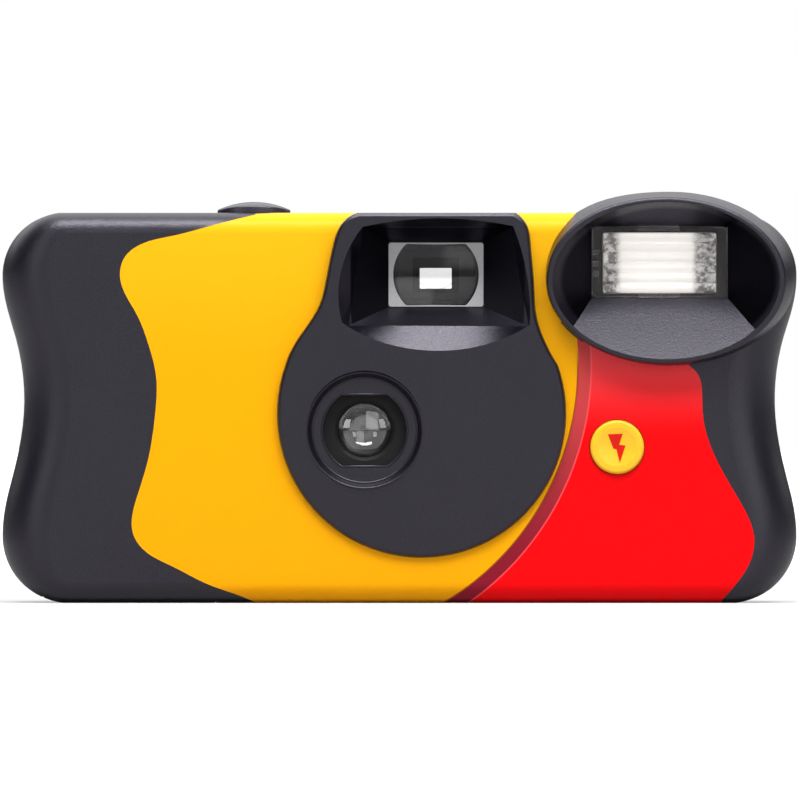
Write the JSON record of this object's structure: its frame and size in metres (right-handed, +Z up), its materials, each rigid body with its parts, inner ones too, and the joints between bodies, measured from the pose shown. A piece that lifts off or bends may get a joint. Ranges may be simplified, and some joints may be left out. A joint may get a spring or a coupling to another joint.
{
  "type": "single-use film camera",
  "caption": "Single-use 35 mm film camera with a waisted black casing, yellow and red printed wrap, oval flash bell, hooded viewfinder and small round lens.",
  "frame": {"origin": "on the surface that the camera stands on, midway along its width and its depth", "axes": "+Z up, +X along the width towards the flash, -Y towards what is pictured"},
  "size_m": [0.117, 0.034, 0.0605],
  "materials": {
    "black_plastic": "fine-grained moulded black",
    "wrap_print": "glossy printed label, warm yellow",
    "red_print": "glossy printed label, red",
    "button_plastic": "smooth dark grey",
    "flash_button_plastic": "glossy yellow",
    "clear_optic": "clear moulded acrylic",
    "inner_plastic": "matte black",
    "wheel_plastic": "matte black, knurled",
    "white_plastic": "natural white",
    "blade_metal": "black anodised",
    "spring_steel": "bright wire",
    "contact_metal": "plated strip",
    "cassette_metal": "plain lacquered steel",
    "cap_metal": "black lacquered steel",
    "felt": "black plush",
    "film_base": "unexposed film, brown-grey",
    "board_laminate": "phenolic laminate",
    "part_plastic": "black moulded part",
    "capacitor_film": "dipped orange-brown",
    "resistor_body": "beige lacquer",
    "transformer_core": "dark ferrite with taped winding",
    "capacitor_sleeve": "sleeved can",
    "coil_winding": "lacquered copper wire",
    "tube_glass": "clear glass",
    "reflector_metal": "bright formed sheet",
    "lamp_glass": "neon lamp glass",
    "battery_can": "plain wrapped cell"
  },
  "bodies": {
    "casing": {"front_cover": "black_plastic", "back_cover": "black_plastic", "wrap_label": "wrap_print", "red_label": "red_print", "taking_lens": "clear_optic", "viewfinder_front_lens": "clear_optic", "viewfinder_rear_lens": "clear_optic", "flash_window": "clear_optic", "counter_window": "clear_optic", "ready_light_pipe": "clear_optic", "lens_retainer": "inner_plastic", "lens_board": "inner_plastic", "main_frame": "inner_plastic", "wheel_pawl": "inner_plastic", "drive_spring": "spring_steel", "shutter_return_spring": "spring_steel", "button_spring": "spring_steel", "sync_contacts": "contact_metal", "battery_contact_upper": "contact_metal", "battery_contact_lower": "contact_metal", "flash_switch_contact": "contact_metal", "cassette_shell": "cassette_metal", "cassette_lower_cap": "cap_metal", "cassette_upper_cap": "cap_metal", "light_trap_inner": "felt", "light_trap_outer": "felt", "film_strip": "film_base", "circuit_board": "board_laminate", "transistor": "part_plastic", "trigger_capacitor": "capacitor_film", "charge_resistor": "resistor_body", "lamp_resistor": "resistor_body", "rectifier_diode": "part_plastic", "transformer": "transformer_core", "main_capacitor": "capacitor_sleeve", "trigger_coil": "coil_winding", "flash_tube": "tube_glass", "flash_reflector": "reflector_metal", "ready_lamp": "lamp_glass", "battery": "battery_can"},
    "shutter_button_body": {"shutter_button": "button_plastic"},
    "release_lever_body": {"release_lever": "white_plastic"},
    "drive_lever_body": {"drive_lever": "white_plastic"},
    "shutter_blade_body": {"shutter_blade": "blade_metal"},
    "advance_wheel": {"thumbwheel": "wheel_plastic", "cassette_spool": "inner_plastic"},
    "sprocket_shaft": {"sprocket_wheel": "white_plastic"},
    "counter_disc": {"counter_dial": "white_plastic"},
    "supply_reel": {"supply_spool": "inner_plastic", "film_roll": "film_base"},
    "flash_button_body": {"flash_button": "flash_button_plastic"},
    "film_door_body": {"film_door": "black_plastic"},
    "battery_door_body": {"battery_door": "black_plastic"}
  },
  "joints": [
    {"name": "shutter_press", "type": "slide", "parent": "casing", "child": "shutter_button_body", "axis": [0, 0, -1], "range_m": [0, 0.0012], "stiffness_N_per_m": 400, "springref_m": -0.001, "deforming": ["button_spring"]},
    {"name": "release_lever_tilt", "type": "hinge", "parent": "casing", "child": "release_lever_body", "pos_m": [-0.017, -0.0067, 0.0465], "axis": [0, -1, 0], "range_deg": [0, 20]},
    {"name": "drive_lever_swing", "type": "hinge", "parent": "casing", "child": "drive_lever_body", "pos_m": [-0.0122, 0.00075, 0.04375], "axis": [0, 0, 1], "range_deg": [0, 35]},
    {"name": "shutter_blade_swing", "type": "hinge", "parent": "casing", "child": "shutter_blade_body", "pos_m": [-0.0126, -0.00765, 0.031], "axis": [0, 1, 0], "range_deg": [0, 25], "stiffness_Nm_per_rad": 0.00002, "springref_deg": -28.65, "deforming": ["shutter_return_spring"]},
    {"name": "advance_wheel_spin", "type": "hinge", "parent": "casing", "child": "advance_wheel", "pos_m": [-0.0398, 0.0024, 0.0519], "axis": [0, 0, 1], "continuous": true},
    {"name": "sprocket_spin", "type": "hinge", "parent": "casing", "child": "sprocket_shaft", "pos_m": [-0.0198, 0.00818, 0.0396], "axis": [0, 0, 1], "continuous": true},
    {"name": "counter_dial_spin", "type": "hinge", "parent": "casing", "child": "counter_disc", "pos_m": [-0.0112, 0.0056, 0.0542], "axis": [0, 0, 1], "continuous": true},
    {"name": "supply_reel_spin", "type": "hinge", "parent": "casing", "child": "supply_reel", "pos_m": [0.0266, 0.00513, 0.0254], "axis": [0, 0, 1], "continuous": true},
    {"name": "flash_button_press", "type": "slide", "parent": "casing", "child": "flash_button_body", "axis": [0, 1, 0], "range_m": [0, 0.0008], "stiffness_N_per_m": 500, "springref_m": -0.001},
    {"name": "film_door_swing", "type": "hinge", "parent": "casing", "child": "film_door_body", "pos_m": [-0.0398, -0.0105, 0.0007], "axis": [-1, 0, 0], "range_deg": [0, 90]},
    {"name": "battery_door_swing", "type": "hinge", "parent": "casing", "child": "battery_door_body", "pos_m": [0.0456, -0.0007, 0.0007], "axis": [-1, 0, 0], "range_deg": [0, 90]}
  ],
  "couplings": [
    {"joint": "release_lever_tilt", "follows": "shutter_press", "rad_per_m": 244},
    {"joint": "shutter_blade_swing", "follows": "drive_lever_swing", "ratio": 0.714},
    {"joint": "sprocket_spin", "follows": "advance_wheel_spin", "ratio": 1},
    {"joint": "counter_dial_spin", "follows": "advance_wheel_spin", "ratio": -0.033333},
    {"joint": "supply_reel_spin", "follows": "advance_wheel_spin", "ratio": 0.6667}
  ]
}
